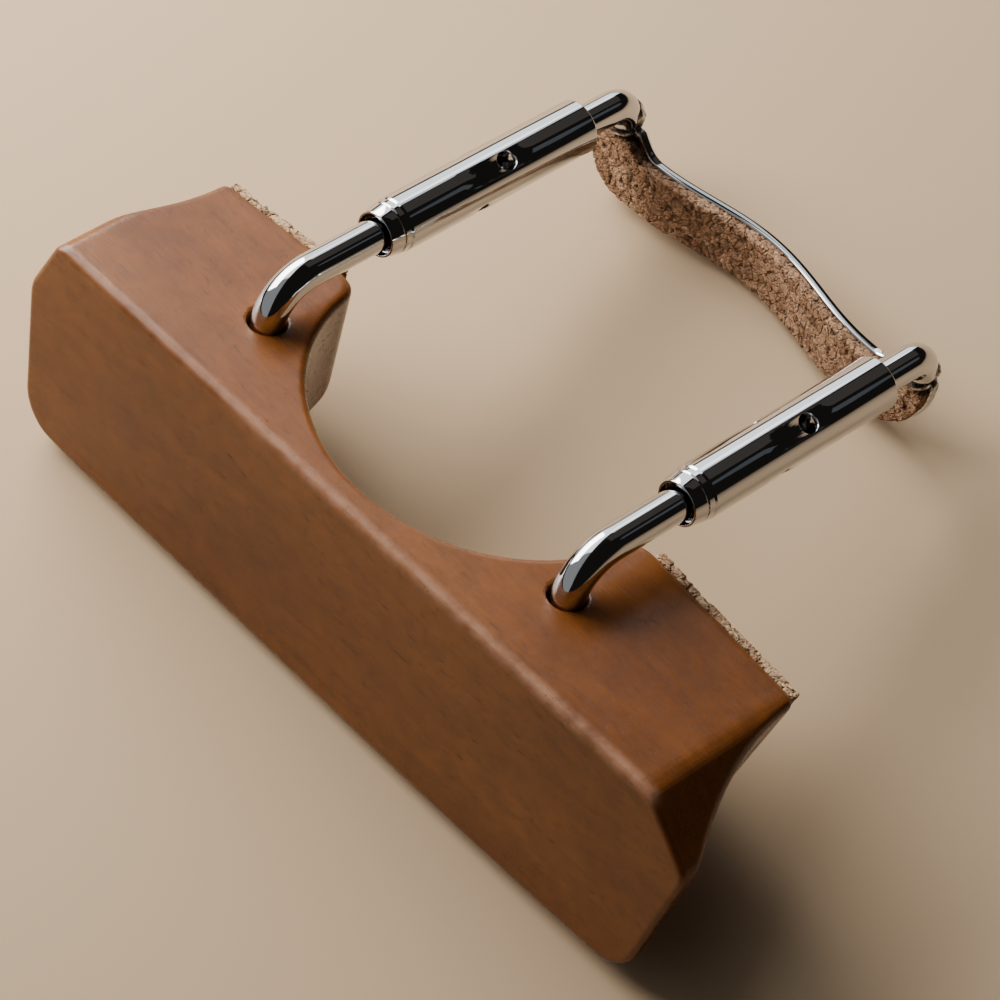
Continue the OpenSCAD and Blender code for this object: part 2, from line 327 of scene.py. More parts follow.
WOOD_DARK = (0.118, 0.036, 0.0065)
WOOD_MIDDLE = (0.150, 0.048, 0.0095)
WOOD_LIGHT = (0.185, 0.063, 0.014)
# Lighter, pinker colour of the front edge: part wear, part painted highlight.
WOOD_WORN_AND_HIGHLIT = (0.270, 0.130, 0.070)

CHROME = chrome_material()
WOOD = wood_material()
PAD_CORK = cork_material("pad_cork", (0.60, 0.41, 0.25), (0.46, 0.29, 0.165), (0.29, 0.16, 0.085))
LINING_CORK = cork_material("lining_cork", (0.42, 0.26, 0.155), (0.31, 0.175, 0.098), (0.20, 0.105, 0.055))


# ---------------------------------------------------------------- chromed rods

def tube_faces(segments, rings):
    """Faces of a closed tube whose points are rings of segments, with a cap at each end."""
    faces = []
    for k in range(rings - 1):
        for i in range(segments):
            j = (i + 1) % segments
            faces.append((k * segments + i, k * segments + j, (k + 1) * segments + j, (k + 1) * segments + i))
    faces.append(tuple(reversed(range(segments))))
    faces.append(tuple(range((rings - 1) * segments, rings * segments)))
    return faces


def ring_sweep(centres, tangents, side, radii, segments=96):
    """Points and faces of a round bar that follows centres; side is a direction square to the whole path."""
    points = []
    for centre, tangent, radius in zip(centres, tangents, radii):
        up = side.cross(tangent)
        for i in range(segments):
            a = 2 * math.pi * i / segments
            points.append(centre + (side * math.cos(a) + up * math.sin(a)) * radius)
    return points, tube_faces(segments, len(centres))


def bent_rod(name, side, upright_from, bend, bend_at, bar_to, chamfer=0.25):
    """A rod up along Z, round a quarter bend and on along Y to bar_to."""
    way = 1 if bar_to > bend_at else -1
    x = side * ROD_X
    path = []
    top = ROD_HEIGHT - bend
    for k, inset in ((0.0, chamfer), (0.5, chamfer * 0.3), (1.0, 0.0)):
        path.append((Vector((x, bend_at, upright_from + k * chamfer)), Vector((0, 0, 1)), ROD_D / 2 - inset))
    steps = 40
    for k in range(1, 9):
        z = upright_from + chamfer + (top - upright_from - chamfer) * k / 9
        path.append((Vector((x, bend_at, z)), Vector((0, 0, 1)), ROD_D / 2))
    for k in range(steps + 1):
        a = math.pi / 2 * k / steps
        centre = Vector((x, bend_at + way * bend * (1 - math.cos(a)), top + bend * math.sin(a)))
        path.append((centre, Vector((0, way * math.sin(a), math.cos(a))), ROD_D / 2))
    start = bend_at + way * bend
    for k in range(1, 25):
        y = start + (bar_to - way * chamfer - start) * k / 24
        path.append((Vector((x, y, ROD_HEIGHT)), Vector((0, way, 0)), ROD_D / 2))
    for k, inset in ((0.5, chamfer * 0.3), (1.0, chamfer)):
        y = bar_to - way * chamfer * (1 - k)
        path.append((Vector((x, y, ROD_HEIGHT)), Vector((0, way, 0)), ROD_D / 2 - inset))
    centres, tangents, radii = zip(*path)
    points, faces = ring_sweep(centres, tangents, Vector((1, 0, 0)), radii)
    rod = add_mesh(name, points, faces)
    fix_normals(rod)
    return rod


# ---------------------------------------------------------------- chromed barrels

def fillet_profile(corners, steps=6):
    """A profile in (radius, length) whose corners (r, y, fillet) are rounded."""
    result = []
    for i, (r, y, fillet) in enumerate(corners):
        p = Vector((r, y))
        if fillet == 0 or i in (0, len(corners) - 1):
            result.append(p)
            continue
        a = Vector(corners[i - 1][:2]) - p
        b = Vector(corners[i + 1][:2]) - p
        ua, ub = a.normalized(), b.normalized()
        half = ua.angle(ub) / 2
        reach = min(fillet / math.tan(half), a.length * 0.45, b.length * 0.45)
        for k in range(steps + 1):
            t = k / steps
            arriving = (p + ua * reach) * (1 - t) + p * t
            leaving = p * (1 - t) + (p + ub * reach) * t
            result.append(arriving * (1 - t) + leaving * t)
    return result


def lathe(profile, centre, axis, side, segments):
    """Points and faces of a closed ring turned round axis from a closed profile of (radius, length)."""
    up = axis.cross(side)
    points, faces = [], []
    for radius, length in profile:
        for i in range(segments):
            a = 2 * math.pi * i / segments
            points.append(centre + axis * length + (side * math.cos(a) + up * math.sin(a)) * radius)
    rings = len(profile)
    for k in range(rings):
        m = (k + 1) % rings
        for i in range(segments):
            j = (i + 1) % segments
            faces.append((k * segments + i, m * segments + i, m * segments + j, k * segments + j))
    return points, faces


def barrel_profile():
    """The barrel's closed profile: mouth, collar with its turned groove, body and the bevelled far end."""
    bore = ROD_D / 2 + RUN
    mouth = bore + MOUTH_STEP
    r = BARREL_D / 2
    rim = 0.85 * r
    corners = [
        (bore, 1.1, 0),
        (mouth, MOUTH_DEPTH, 0.05),
        (mouth, 0, 0.06),
        (rim, 0, 0.16),
        (rim + 0.26, COLLAR_LENGTH * 0.58, 0.1),
        (rim + 0.16, COLLAR_LENGTH * 0.63, 0.04),
        (rim + 0.27, COLLAR_LENGTH * 0.68, 0.06),
        (rim + 0.31, COLLAR_LENGTH * 0.92, 0.15),
        (r, COLLAR_LENGTH + 0.05, 0.08),
        (r, BARREL_LENGTH * 0.35, 0.0001),
        (r, BARREL_LENGTH * 0.7, 0.0001),
        (r, BARREL_LENGTH - 0.35, 0.2),
        (r - 0.35, BARREL_LENGTH, 0.12),
        (bore + 0.15, BARREL_LENGTH, 0.05),
        (bore, BARREL_LENGTH - 0.15, 0)
    ]
    return fillet_profile(corners)


def key_cutter(side, at, angle):
    """A spool-shaped cutter for a cross hole with a rounded countersink at each end."""
    r = BARREL_D / 2
    flare = 0.32
    hole = KEY_D / 2
    profile = [(0.0, -r - 1), (hole + 1.0, -r - 1)]
    steps = 10
    for k in range(steps + 1):
        a = math.pi / 2 * k / steps
        profile.append((hole + flare * (1 - math.sin(a)), -r - 0.02 + flare * (1 - math.cos(a)) * 1.3))
    profile += [(radius, -length) for radius, length in reversed(profile)]
    a = math.radians(angle)
    axis = Vector((math.sin(a), 0, math.cos(a)))
    centre = Vector((side * ROD_X, BARREL_START + at, ROD_HEIGHT))
    points = []
    segments = 64
    across = Vector((0, 1, 0))
    up = axis.cross(across)
    for radius, length in profile:
        for i in range(segments):
            b = 2 * math.pi * i / segments
            out = across * math.cos(b) + up * math.sin(b)
            points.append(centre + axis * length + out * max(radius, 0.001))
    return add_mesh("cutter", points, tube_faces(segments, len(profile)))


def make_barrel(name, side):
    """A barrel turned round its rod, with two crossed key holes cut through it."""
    centre = Vector((side * ROD_X, BARREL_START, ROD_HEIGHT))
    points, faces = lathe(barrel_profile(), centre, Vector((0, 1, 0)), Vector((1, 0, 0)), 160)
    barrel = add_mesh(name, points, faces)
    fix_normals(barrel)
    for at, angle in ((KEY_HOLE_AT, KEY_ANGLE), (KEY_HOLE_AT - KEY_HOLE_STEP, KEY_ANGLE - 90)):
        cutter = key_cutter(side, at, angle)
        fix_normals(cutter)
        cut(barrel, cutter)
    return barrel


def fix_normals(obj):
    """Points every face outwards."""
    mesh = bmesh.new()
    mesh.from_mesh(obj.data)
    bmesh.ops.recalc_face_normals(mesh, faces=mesh.faces)
    mesh.to_mesh(obj.data)
    mesh.free()


def apply_modifiers(obj):
    """Bakes an object's modifiers into its mesh."""
    depsgraph = bpy.context.evaluated_depsgraph_get()
    depsgraph.update()
    baked = bpy.data.meshes.new_from_object(obj.evaluated_get(depsgraph))
    obj.modifiers.clear()
    old = obj.data
    obj.data = baked
    bpy.data.meshes.remove(old)


def cut(obj, cutter):
    """Takes cutter away from obj."""
    modifier = obj.modifiers.new("cut", "BOOLEAN")
    modifier.operation = "DIFFERENCE"
    modifier.solver = "EXACT"
    modifier.object = cutter
    bpy.context.view_layer.update()
    apply_modifiers(obj)
    bpy.data.objects.remove(cutter)


# ---------------------------------------------------------------- foot plate and its lining

def plate_line(x):
    """Middle line of the foot plate."""
    u = min(1, abs(x + 1) / BULGE_HALF)
    return POST_AT + FOOT_SETBACK + FOOT_BULGE * math.cos(math.pi / 2 * u) ** 2


def round_corner(before, corner, after, radius, step=0.12):
    """Points of a rounded corner."""
    p = Vector(corner)
    a = Vector(before) - p
    b = Vector(after) - p
    ua, ub = a.normalized(), b.normalized()
    half = ua.angle(ub) / 2
    centre = p + (ua + ub).normalized() * radius / math.sin(half)
    start = p + ua * radius / math.tan(half) - centre
    stop = p + ub * radius / math.tan(half) - centre
    turn = math.atan2(start.x * stop.y - start.y * stop.x, start.dot(stop))
    steps = max(4, math.ceil(abs(turn) * radius / step))
    first = math.atan2(start.y, start.x)
    return [centre + Vector((math.cos(first + turn * k / steps), math.sin(first + turn * k / steps))) * radius
            for k in range(steps + 1)]


def rounded(corners, step=0.12):
    """A closed outline from its sharp corners, each given as (u, v, radius)."""
    result = []
    for i, (u, v, radius) in enumerate(corners):
        before = corners[i - 1][:2]
        after = corners[(i + 1) % len(corners)][:2]
        result += round_corner(before, (u, v), after, radius, step)
    return result


def foot_outline(margin, ears, step=0.12):
    """The foot plate's outline in (x, z), as dense points counter-clockwise."""
    end = FOOT_LENGTH / 2 - margin
    inner = FOOT_LENGTH / 2 - EAR_WIDTH + margin
    high = FOOT_HIGH - margin
    low = FOOT_LOW + margin
    slope = ears - high
    return densify(rounded([
        (-end, low, LEFT_CORNER_R - margin),
        (end, low, RIGHT_CORNER_R - margin),
        (end, ears, EAR_CORNER_R),
        (inner, ears, EAR_CORNER_R),
        (inner - slope, high, EAR_FILLET),
        (-inner + slope, high, EAR_FILLET),
        (-inner, ears, EAR_CORNER_R),
        (-end, ears, EAR_CORNER_R)
    ], step), 2.5 * step)


def densify(loop, step):
    """Adds points to a closed loop so that no side is longer than step."""
    dense = []
    for i, p in enumerate(loop):
        q = loop[(i + 1) % len(loop)]
        parts = max(1, math.ceil((q - p).length / step))
        dense += [p.lerp(q, k / parts) for k in range(parts)]
    return dense


def inward(loop, distance):
    """The loop moved inwards by distance."""
    moved = []
    for i, p in enumerate(loop):
        along = (loop[(i + 1) % len(loop)] - loop[i - 1]).normalized()
        moved.append(p + Vector((-along.y, along.x)) * distance)
    return moved


def inside(loop, x, z):
    """Whether a point lies inside a closed loop."""
    hit = False
    for i, p in enumerate(loop):
        q = loop[i - 1]
        if (p.y > z) != (q.y > z) and x < (q.x - p.x) * (z - p.y) / (q.y - p.y) + p.x:
            hit = not hit
    return hit


def bent_plate(name, loop, near, far, edge, grid=0.45):
    """A plate with rounded edges that follows the foot's line, between two offsets from it."""
    middle, half = (near + far) / 2, (far - near) / 2
    rings, steps = [], 5
    for k in range(steps + 1):
        a = math.pi / 2 * k / steps
        rings.append((edge * (1 - math.sin(a)), -(half - edge + edge * math.cos(a))))
    rings += [(inset, -depth) for inset, depth in reversed(rings)]
    flat, faces, count = [], [], len(loop)
    for inset, depth in rings:
        flat += [(p.x, p.y, depth) for p in inward(loop, inset)]
    for k in range(len(rings) - 1):
        for i in range(count):
            j = (i + 1) % count
            faces.append((k * count + i, k * count + j, (k + 1) * count + j, (k + 1) * count + i))
    rim = inward(loop, edge)
    guard = inward(loop, edge + grid * 0.5)
    xs = [p.x for p in rim]
    zs = [p.y for p in rim]
    inner = []
    for a in np.arange(min(xs) + grid, max(xs), grid):
        for b in np.arange(min(zs) + grid, max(zs), grid):
            if inside(guard, a, b):
                inner.append(Vector((a, b)))
    sides = [(i, (i + 1) % count) for i in range(count)]
    verts, _, tris, _, _, _ = delaunay_2d_cdt(rim + inner, sides, [], 1, 1e-6)
    for ring, first in ((0, 0), (len(rings) - 1, (len(rings) - 1) * count)):
        base = len(flat)
        depth = rings[ring][1]
        flat += [(v.x, v.y, depth) for v in verts[count:]]
        for tri in tris:
            ids = [first + v if v < count else base + v - count for v in tri]
            faces.append(tuple(ids))
    points = [(x, plate_line(x) + middle + depth, z) for x, z, depth in flat]
    plate = add_mesh(name, points, faces)
    fix_normals(plate)
    return plate


def weld_bead(side, seed):
    """The uneven bead of weld metal under a post."""
    draw = random.Random(seed)
    phase = [draw.uniform(0, 2 * math.pi) for _ in range(4)]
    segments, rings = 72, 9
    tube = WELD_H / 2
    points = []
    for k in range(rings):
        a = math.pi * (k / (rings - 1) - 0.5)
        for i in range(segments):
            b = 2 * math.pi * i / segments
            wave = sum(math.sin((m + 2) * b + p) for m, p in enumerate(phase)) * 0.018
            r = WELD_R - tube + tube * math.cos(a) * (1 + wave) + wave - 0.05
            x = side * ROD_X + r * math.cos(b)
            points.append((x, POST_AT + r * math.sin(b), EAR_HIGH - tube + tube * math.sin(a)))
    return add_mesh("weld_bead", points, tube_faces(segments, rings))


def solder_saddle(side, size, seed):
    """The lump of solder that runs from the ear up behind the bend of a post."""
    segments, rings = 48, 25
    centre = Vector((side * ROD_X, POST_AT + 0.75, EAR_HIGH + 0.55))
    offset = Vector((seed * 3.1, seed * 1.7, 0))
    points = []
    for k in range(rings):
        a = math.pi * (k + 0.02) / (rings - 0.96)
        for i in range(segments):
            b = 2 * math.pi * i / segments
            way = Vector((math.sin(a) * math.cos(b), math.sin(a) * math.sin(b), math.cos(a)))
            swell = 1 + 0.10 * noise.noise(way * 1.6 + offset) + 0.05 * noise.noise(way * 4 + offset)
            points.append(centre + Vector((way.x * size[0], way.y * size[1], way.z * size[2])) * swell)
    saddle = add_mesh("solder", points, tube_faces(segments, rings))
    fix_normals(saddle)
    return saddle


def solder_at(point):
    """How much a point of the foot is covered by solder: all of it close to a post, none 4 mm away."""
    away = math.hypot(abs(point.x) - ROD_X, point.z - EAR_HIGH)
    return 1 - min(1, max(0, (away - 1.9) / 1.8))


def join(objects, name):
    """One object from several."""
    mesh = bmesh.new()
    for obj in objects:
        mesh.from_mesh(obj.data)
    joined = bpy.data.meshes.new(name)
    mesh.to_mesh(joined)
    mesh.free()
    for obj in objects:
        bpy.data.objects.remove(obj)
    result = bpy.data.objects.new(name, joined)
    bpy.context.scene.collection.objects.link(result)
    return result


def make_foot():
    """The foot plate with its weld beads and solder, and how much of it the solder covers."""
    plate = bent_plate("plate", foot_outline(0, EAR_HIGH), -FOOT_THICKNESS / 2, FOOT_THICKNESS / 2, 0.3)
    solder = [solder_saddle(LEFT, (1.95, 1.25, 1.75), 3), solder_saddle(RIGHT, (1.8, 1.05, 1.2), 5)]
    foot = join([plate, weld_bead(LEFT, 3), weld_bead(RIGHT, 5)] + solder, "foot_strip")
    declare(foot, "foot_plate", "foot", CHROME)
    points = [LAY_DOWN.inverted() @ vertex.co for vertex in foot.data.vertices]
    paint(foot, "solder", [solder_at(p) for p in points])


# ---------------------------------------------------------------- solids as distance fields

def arc(centre, radius, first, last, step=3):
    """Points of an arc in degrees."""
    steps = max(2, math.ceil(abs(last - first) / step))
    angles = [math.radians(first + (last - first) * k / steps) for k in range(steps + 1)]
    return [(centre[0] + radius * math.cos(a), centre[1] + radius * math.sin(a)) for a in angles]


def outline_distance(loop, u, v):
    """Signed distance from a closed outline, negative inside it. u and v broadcast."""
    u, v = np.broadcast_arrays(u, v)
    nearest = np.full(u.shape, np.inf)
    within = np.zeros(u.shape, bool)
    for (au, av), (bu, bv) in zip(loop, loop[1:] + loop[:1]):
        du, dv = bu - au, bv - av
        length = du * du + dv * dv
        if length < 1e-12:
            continue
        t = np.clip(((u - au) * du + (v - av) * dv) / length, 0, 1)
        nearest = np.minimum(nearest, (u - au - t * du) ** 2 + (v - av - t * dv) ** 2)
        if av != bv:
            within ^= ((av > v) != (bv > v)) & (u < du * (v - av) / dv + au)
    return np.where(within, -1, 1) * np.sqrt(nearest)


def soft_max(a, b, k):
    """The larger of two fields, rounded over a width k."""
    return np.maximum(a, b) + np.maximum(k - np.abs(a - b), 0) ** 2 / (4 * k)


def surface(field, low, high, step):
    """Points and faces where field(x, y, z) is zero, by surface nets and a few Newton steps."""
    axes = [np.arange(a, b + step, step) for a, b in zip(low, high)]
    x, y, z = axes[0][:, None, None], axes[1][None, :, None], axes[2][None, None, :]
    values = np.ascontiguousarray(np.broadcast_to(field(x, y, z), [len(a) for a in axes]))
    inner = values < 0
    corners = [(i, j, k) for i in (0, 1) for j in (0, 1) for k in (0, 1)]
    cells = [s - 1 for s in values.shape]
    count = np.zeros(cells, np.int8)
    for i, j, k in corners:
        count += inner[i:i + cells[0], j:j + cells[1], k:k + cells[2]]
    mixed = np.argwhere((count > 0) & (count < 8))
    total = np.zeros((len(mixed), 3))
    hits = np.zeros(len(mixed))
    for a in corners:
        for axis in range(3):
            if a[axis]:
                continue
            b = tuple(1 if m == axis else a[m] for m in range(3))
            fa = values[tuple((mixed + a).T)]
            fb = values[tuple((mixed + b).T)]
            cross = (fa < 0) != (fb < 0)
            t = np.where(cross, fa / np.where(cross, fa - fb, 1), 0)
            place = mixed + a + t[:, None] * (np.array(b) - a)
            total += place * cross[:, None]
            hits += cross
    points = np.array(low) + step * total / hits[:, None]
    index = np.full(cells, -1, np.int64)
    index[tuple(mixed.T)] = np.arange(len(mixed))
    faces = []
    for axis in range(3):
        p, q = [m for m in range(3) if m != axis]
        one = np.take(inner, range(values.shape[axis] - 1), axis)
        two = np.take(inner, range(1, values.shape[axis]), axis)
        edges = np.argwhere(one != two)
        edges = edges[(edges[:, p] > 0) & (edges[:, q] > 0)]
        edges = edges[(edges[:, p] < cells[p]) & (edges[:, q] < cells[q])]
        quad = []
        for dp, dq in ((1, 1), (0, 1), (0, 0), (1, 0)):
            cell = edges.copy()
            cell[:, p] -= dp
            cell[:, q] -= dq
            quad.append(index[tuple(cell.T)])
        quad = np.stack(quad, 1)
        flip = one[tuple(edges.T)] != (axis == 1)
        quad[~flip] = quad[~flip][:, ::-1]
        faces.append(quad)
    faces = np.concatenate(faces)
    normals = None
    for _ in range(3):
        here, normals = slope(field, points, step * 0.05)
        points -= normals * np.clip(here, -step / 2, step / 2)[:, None]
    normals = slope(field, points, step * 0.05)[1]
    return points, faces, normals


def slope(field, points, h):
    """A field's distance and unit gradient at points."""
    x, y, z = points.T
    here = field(x, y, z)
    gradient = np.stack([field(x + h, y, z) - field(x - h, y, z),
                         field(x, y + h, z) - field(x, y - h, z),
                         field(x, y, z + h) - field(x, y, z - h)], 1) / (2 * h)
    length = np.maximum(np.linalg.norm(gradient, axis=1), 1e-9)
    return here / length, gradient / length[:, None]


def field_mesh(name, field, low, high, step):
    """An object made from a field, shaded by the field's own normals."""
    points, faces, normals = surface(field, low, high, step)
    turn = np.array(LAY_DOWN.to_3x3())
    placed = points @ turn.T + np.array(LAY_DOWN.translation)
    mesh = bpy.data.meshes.new(name)
    mesh.vertices.add(len(placed))
    mesh.vertices.foreach_set("co", placed.ravel())
    mesh.loops.add(faces.size)
    mesh.loops.foreach_set("vertex_index", faces.ravel().astype(np.int32))
    mesh.polygons.add(len(faces))
    mesh.polygons.foreach_set("loop_start", np.arange(0, faces.size, 4, dtype=np.int32))
    mesh.update(calc_edges=True)
    mesh.validate()
    mesh.polygons.foreach_set("use_smooth", np.ones(len(mesh.polygons), bool))
    shaded = normals @ turn.T
    shaded /= np.linalg.norm(shaded, axis=1)[:, None]
    mesh.normals_split_custom_set_from_vertices(shaded.tolist())
    obj = bpy.data.objects.new(name, mesh)
    bpy.context.scene.collection.objects.link(obj)
    return obj, points


def paint(obj, name, values):
    """Stores one number per point on the mesh, for its material to read."""
    layer = obj.data.attributes.new(name, "FLOAT", "POINT")
    layer.data.foreach_set("value", np.asarray(values, np.float32))


# ---------------------------------------------------------------- the wooden block

CHIN_OUTLINE = rounded([
    (-PLATE_LEFT + 2.7, 0, 2),
    (-PLATE_LEFT, -7.5, 5),
    (-PLATE_LEFT + 2.3, 0.6 - PLATE_DEPTH, 5),
    (2, -PLATE_DEPTH - 0.4, 200),
    (PLATE_RIGHT - 3.2, 1.4 - PLATE_DEPTH, 4.5),
    (PLATE_RIGHT, -6.2, 2.5),
    (PLATE_RIGHT - 6.6, 0, 3)
], 0.4)
REST_Y = -CHIN_FACE + PLATE_LAND
REST_Z = -PLATE_DEPTH + PLATE_EDGE_R


def side_outline():
    """The side of the block in (y, z)."""
    rise = PLATE_DEPTH - FOOT_DEPTH - PLATE_EDGE_R
    run = COVE_TOP - REST_Y - PLATE_EDGE_R
    cove_r = (run * run + rise * rise) / (2 * rise)
    cove_mid = (COVE_TOP, -FOOT_DEPTH - cove_r)
    first = math.degrees(math.atan2(REST_Z - cove_mid[1], REST_Y + PLATE_EDGE_R - cove_mid[0]))
    face = FOOT_FACE + 0.2
    return (
        arc((-CHIN_FACE + FRONT_EDGE_R, -FRONT_EDGE_R), FRONT_EDGE_R, 90, 180, 10)
        + arc((-CHIN_FACE + FRONT_EDGE_R, -PLATE_DEPTH + FRONT_EDGE_R), FRONT_EDGE_R, 180, 270, 10)
        + arc((REST_Y, REST_Z), PLATE_EDGE_R, 270, 360, 10)
        + arc(cove_mid, cove_r, first, 90, 4)
        + arc((face - HEEL_R, -FOOT_DEPTH + HEEL_R), HEEL_R, -90, 0, 6)
        + [(face, 0)]
    )


SIDE_OUTLINE = side_outline()


def face_start():
    """Where the raked face of a foot begins, at the arch, as (|x|, y)."""
    reach = math.sqrt((ARCH_RADIUS + INNER_CORNER_R) ** 2 - (FOOT_FACE - INNER_CORNER_R - ARCH_CENTRE) ** 2)
    rake = math.radians(FOOT_RAKE)
    return reach + INNER_CORNER_R * math.sin(rake), FOOT_FACE - INNER_CORNER_R * (1 - math.cos(rake))


def plan_distance(x, y):
    """Distance from the arch and the two raked feet's faces, seen from above."""
    rake = math.radians(FOOT_RAKE)
    start_x, start_y = face_start()
    face = (np.abs(x) - start_x) * math.sin(rake) + (y - start_y) * math.cos(rake)
    arch = ARCH_RADIUS - np.hypot(x, y - ARCH_CENTRE)
    return soft_max(face, arch, 2.4)


def end_distance(side, foot_end, tip, x, y, z):
    """Distance from what is cut away at one end: negative in the wood."""
    lean = math.radians(END_LEAN)
    out = (side * x - foot_end) * math.cos(lean) - z * math.sin(lean)
    run_out = (tip - foot_end + COVE_FLARE) * math.cos(lean)
    drop = COVE_START - COVE_END
    cove = (run_out * run_out + drop * drop) / (2 * run_out)
    straight = out
    curved = cove - np.hypot(out - cove, y - COVE_START)
    return np.minimum(np.where(y > COVE_START, straight, curved), y - COVE_END)


def block_field(x, y, z):
    """The wooden block: the three outlines, the two ends and the rod holes."""
    chin = outline_distance(CHIN_OUTLINE, x, z)
    profile = outline_distance(SIDE_OUTLINE, y, z)
    wood = soft_max(chin, profile, 0.7)
    for side, foot_end, tip in ((LEFT, LEFT_FOOT_END, PLATE_LEFT), (RIGHT, RIGHT_FOOT_END, PLATE_RIGHT)):
        wood = soft_max(wood, end_distance(side, foot_end, tip, x, y, z), 0.8)
    wood = soft_max(wood, plan_distance(x, y), 0.9)
    for side in (LEFT, RIGHT):
        bore = ROD_D / 2 - np.hypot(x - side * ROD_X, y)
        mouth = HOLE_MOUTH_D / 2 - np.hypot(x - side * ROD_X + MOUTH_SHIFT, y)
        bore = np.minimum(bore, z + LEG_DEPTH)
        mouth = np.minimum(mouth, z + MOUTH_RELIEF)
        wood = soft_max(wood, np.maximum(bore, mouth), 0.2)
    return wood


def make_block():
    """The wooden block, with the mask of its front edge's wear and painted highlight stored on it."""
    low = (-PLATE_LEFT - 0.5, -CHIN_FACE - 0.4, -PLATE_DEPTH - 0.9)
    high = (PLATE_RIGHT + 0.5, FOOT_FACE + 0.8, 0.5)
    block, points = field_mesh("wooden_block", block_field, low, high, 0.25)
    x, y, z = points.T
    # Mask of the front edge's wear and painted highlight, stronger towards the right end.
    corner = np.hypot(y + CHIN_FACE - FRONT_EDGE_R * 0.3, z + FRONT_EDGE_R * 0.3)
    along = 0.35 + 0.65 * smooth_step(-26, 0, x)
    paint(block, "front_edge", along * (1 - smooth_step(0.35, 1.25, corner)))
    return declare(block, "chin_block", "block", WOOD)


# ---------------------------------------------------------------- pressed cork

def granules(size, seed, table=24):
    """A scatter of granules: gives the gap to the next granule and the nearest one's random number."""
    draw = np.random.default_rng(seed)
    jitter = draw.random((table, table, table, 3))
    number = draw.random((table, table, table))

    def look(points):
        p = points / size
        p = p + 0.22 * np.sin(p[:, [1, 2, 0]] * 2.7 + p[:, [2, 0, 1]] * 1.9)
        home = np.floor(p).astype(int)
        first = np.full(len(p), np.inf)
        second = np.full(len(p), np.inf)
        nearest = np.zeros(len(p))
        for step in itertools.product((-1, 0, 1), repeat=3):
            cell = home + step
            key = tuple((cell % table).T)
            distance = np.linalg.norm(cell + jitter[key] - p, axis=1)
            nearer = distance < first
            second = np.where(nearer, first, np.minimum(second, distance))
            nearest = np.where(nearer, number[key], nearest)
            first = np.minimum(first, distance)
        return (second - first) * size, nearest

    return look


def smooth_step(low, high, value):
    """Runs smoothly from 0 at low to 1 at high."""
    t = np.clip((value - low) / (high - low), 0, 1)
    return t * t * (3 - 2 * t)


def cork_field(shape, coarse, fine):
    """A cork solid: shape with grooves between its granules and a few granules torn out."""

    def field(x, y, z):
        base = shape(x, y, z)
        whole = np.stack(np.broadcast_arrays(x, y, z, base), -1).reshape(-1, 4)
        near = np.abs(whole[:, 3]) < 0.6
        spots = whole[near, :3]
        gap, number = coarse(spots)
        fine_gap, fine_number = fine(spots)
        sunk = 0.09 * (1 - smooth_step(0.0, 0.14, gap)) + 0.10 * number
        sunk += 0.05 * (1 - smooth_step(0.0, 0.10, fine_gap)) + np.where(fine_number > 0.92, 0.16, 0)
        result = whole[:, 3].copy()
        result[near] += sunk
        return result.reshape(np.shape(base))

    return field


def cork_piece(name, shape, low, high, size, seed):
    """A cork object with its granules' tones and the painted shade of its gaps stored on it."""
    coarse, fine = granules(size, seed), granules(size * 0.42, seed + 1)
    step = 0.12
    piece, points = field_mesh(name, cork_field(shape, coarse, fine), low, high, step)
    gap, number = coarse(points)
    fine_gap, fine_number = fine(points)
    tone = 0.72 * ((number * 7.31) % 1) + 0.28 * fine_number
    # How dark the gaps and torn-out granules are painted, as painted shade in the hollows.
    dark = np.maximum(1 - smooth_step(0.02, 0.15, gap), 0.5 * (1 - smooth_step(0.0, 0.08, fine_gap)))
    dark = np.maximum(dark, np.where(fine_number > 0.92, 0.95, 0))
    paint(piece, "granule", tone)
    paint(piece, "gap", 0.7 * dark)
    return piece


def pad_shape(side, foot_end):
    """A flat pad on the raked face of one foot."""
    rake = math.radians(FOOT_RAKE)
    lean = math.radians(END_LEAN)
    start_x, start_y = face_start()

    def shape(x, y, z):
        across = side * x - start_x
        out = across * math.sin(rake) + (y - start_y) * math.cos(rake)
        along = across * math.cos(rake) - (y - start_y) * math.sin(rake)
        end = (side * x - foot_end + PAD_MARGIN) * math.cos(lean) - z * math.sin(lean)
        slab = np.maximum(out - PAD_THICKNESS, -0.15 - out)
        upright = np.maximum(z + PAD_MARGIN, HEEL_R - FOOT_DEPTH - z)
        return soft_max(soft_max(slab, upright, 0.25), soft_max(PAD_MARGIN - along, end, 0.25), 0.25)

    return shape


def make_pad(side, word, foot_end):
    """The cork pad of one foot."""
    start_x, start_y = face_start()
    reach = sorted((side * start_x, side * foot_end))
    low = (reach[0] - 0.5, start_y - 2.6, HEEL_R - FOOT_DEPTH - 0.5)
    high = (reach[1] + 0.5, start_y + PAD_THICKNESS + 0.5, 0.3)
    pad = cork_piece(word + "_cork_pad", pad_shape(side, foot_end), low, high, 1.25, 11 + side)
    declare(pad, word + "_pad_cork", "block", PAD_CORK)


LINING_OUTLINE = [tuple(p) for p in foot_outline(0.15, EAR_HIGH - 1.0, 0.4)]


def lining_shape(x, y, z):
    """The lining on the inner side of the foot plate."""
    u = np.minimum(1, np.abs(x + 1) / BULGE_HALF)
    middle = POST_AT + FOOT_SETBACK + FOOT_BULGE * np.cos(np.pi / 2 * u) ** 2
    depth = y - middle
    slab = np.maximum(depth + FOOT_THICKNESS / 2 - 0.1, -FOOT_THICKNESS / 2 - LINING_THICKNESS - depth)
    return soft_max(outline_distance(LINING_OUTLINE, x, z), slab, 0.25)


